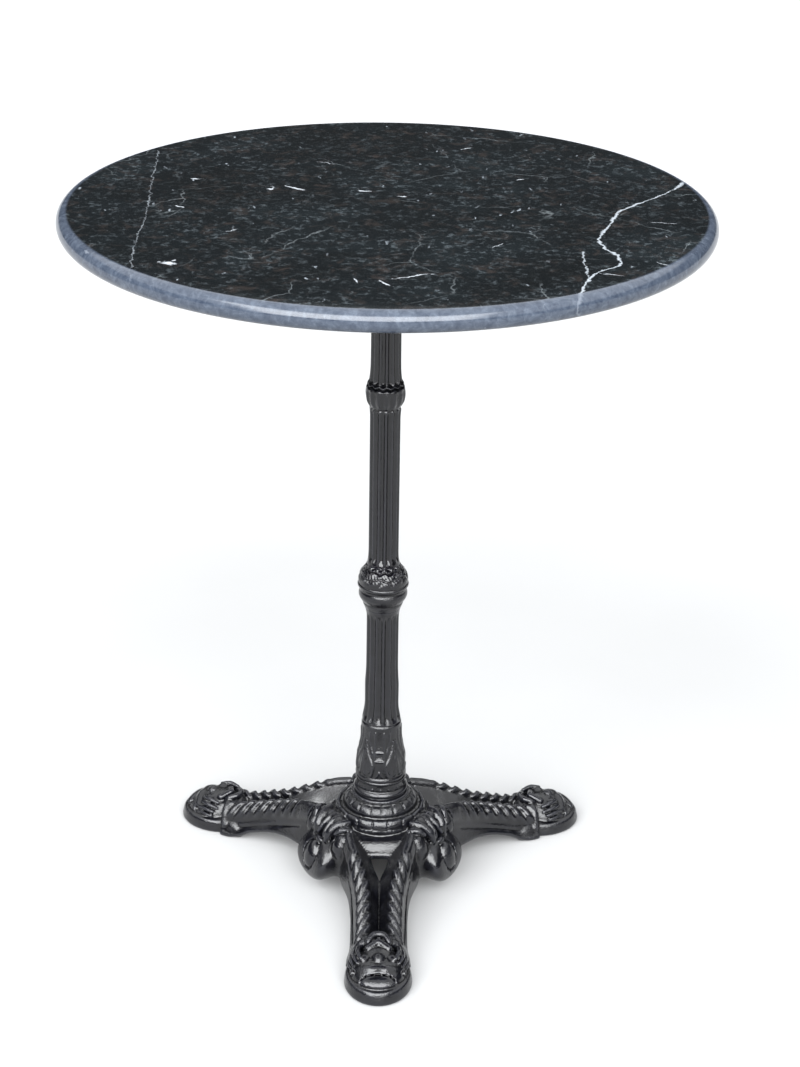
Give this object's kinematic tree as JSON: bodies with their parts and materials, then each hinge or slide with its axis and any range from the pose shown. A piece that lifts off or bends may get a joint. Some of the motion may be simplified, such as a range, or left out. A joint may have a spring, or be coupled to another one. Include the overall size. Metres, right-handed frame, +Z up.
{
  "type": "bistro table",
  "caption": "Round marble cafe table on a fluted cast-iron column and a three-legged base, clamped by a tie rod, with levelling glides in the feet.",
  "frame": {"origin": "on the floor, under the column's axis, at the bottom centre of the table's bounding box", "axes": "+Z up along the column; one leg points along -Y, so the table is symmetric about the plane x = 0"},
  "size_m": [0.6, 0.6, 0.71],
  "materials": {
    "black_marble": "polished, white veined",
    "black_iron": "gloss black enamel",
    "zinc_steel": "zinc plated",
    "brass": "machined",
    "rubber": "matte",
    "nylon": "moulded"
  },
  "bodies": {
    "table": {"marble_top": "black_marble", "brass_insert_1": "brass", "brass_insert_2": "brass", "brass_insert_3": "brass", "brass_insert_4": "brass", "rubber_pad_1": "rubber", "rubber_pad_2": "rubber", "rubber_pad_3": "rubber", "rubber_pad_4": "rubber", "screw_washer_1": "zinc_steel", "screw_washer_2": "zinc_steel", "screw_washer_3": "zinc_steel", "screw_washer_4": "zinc_steel", "top_screw_1": "zinc_steel", "top_screw_2": "zinc_steel", "top_screw_3": "zinc_steel", "top_screw_4": "zinc_steel", "top_spider": "black_iron", "fluted_shaft": "black_iron", "column_knop": "black_iron", "vase_column": "black_iron", "tripod_base": "black_iron", "tie_rod": "zinc_steel", "top_washer": "zinc_steel", "top_nut": "zinc_steel", "plate_washer": "zinc_steel", "bottom_nut": "zinc_steel", "glide_bush_1": "zinc_steel", "glide_bush_2": "zinc_steel", "glide_bush_3": "zinc_steel"},
    "glide_pad_front": {"glide_pad_1": "nylon"},
    "glide_pad_right": {"glide_pad_2": "nylon"},
    "glide_pad_left": {"glide_pad_3": "nylon"},
    "glide_stem_front": {"glide_stem_1": "zinc_steel"},
    "glide_stem_right": {"glide_stem_2": "zinc_steel"},
    "glide_stem_left": {"glide_stem_3": "zinc_steel"}
  },
  "joints": [
    {"name": "glide_travel_front", "type": "slide", "parent": "table", "child": "glide_pad_front", "axis": [0, 0, -1], "range_m": [0, 0.01]},
    {"name": "glide_travel_right", "type": "slide", "parent": "table", "child": "glide_pad_right", "axis": [0, 0, -1], "range_m": [0, 0.01]},
    {"name": "glide_travel_left", "type": "slide", "parent": "table", "child": "glide_pad_left", "axis": [0, 0, -1], "range_m": [0, 0.01]},
    {"name": "glide_screw_front", "type": "hinge", "parent": "glide_pad_front", "child": "glide_stem_front", "pos_m": [0, -0.203, 0], "axis": [0, 0, -1], "range_deg": [0, 2879]},
    {"name": "glide_screw_right", "type": "hinge", "parent": "glide_pad_right", "child": "glide_stem_right", "pos_m": [0.1758, 0.1015, 0], "axis": [0, 0, -1], "range_deg": [0, 2879]},
    {"name": "glide_screw_left", "type": "hinge", "parent": "glide_pad_left", "child": "glide_stem_left", "pos_m": [-0.1758, 0.1015, 0], "axis": [0, 0, -1], "range_deg": [0, 2879]}
  ],
  "couplings": [
    {"joint": "glide_travel_front", "follows": "glide_screw_front", "m_per_rad": 0.00019894},
    {"joint": "glide_travel_right", "follows": "glide_screw_right", "m_per_rad": 0.00019894},
    {"joint": "glide_travel_left", "follows": "glide_screw_left", "m_per_rad": 0.00019894}
  ]
}
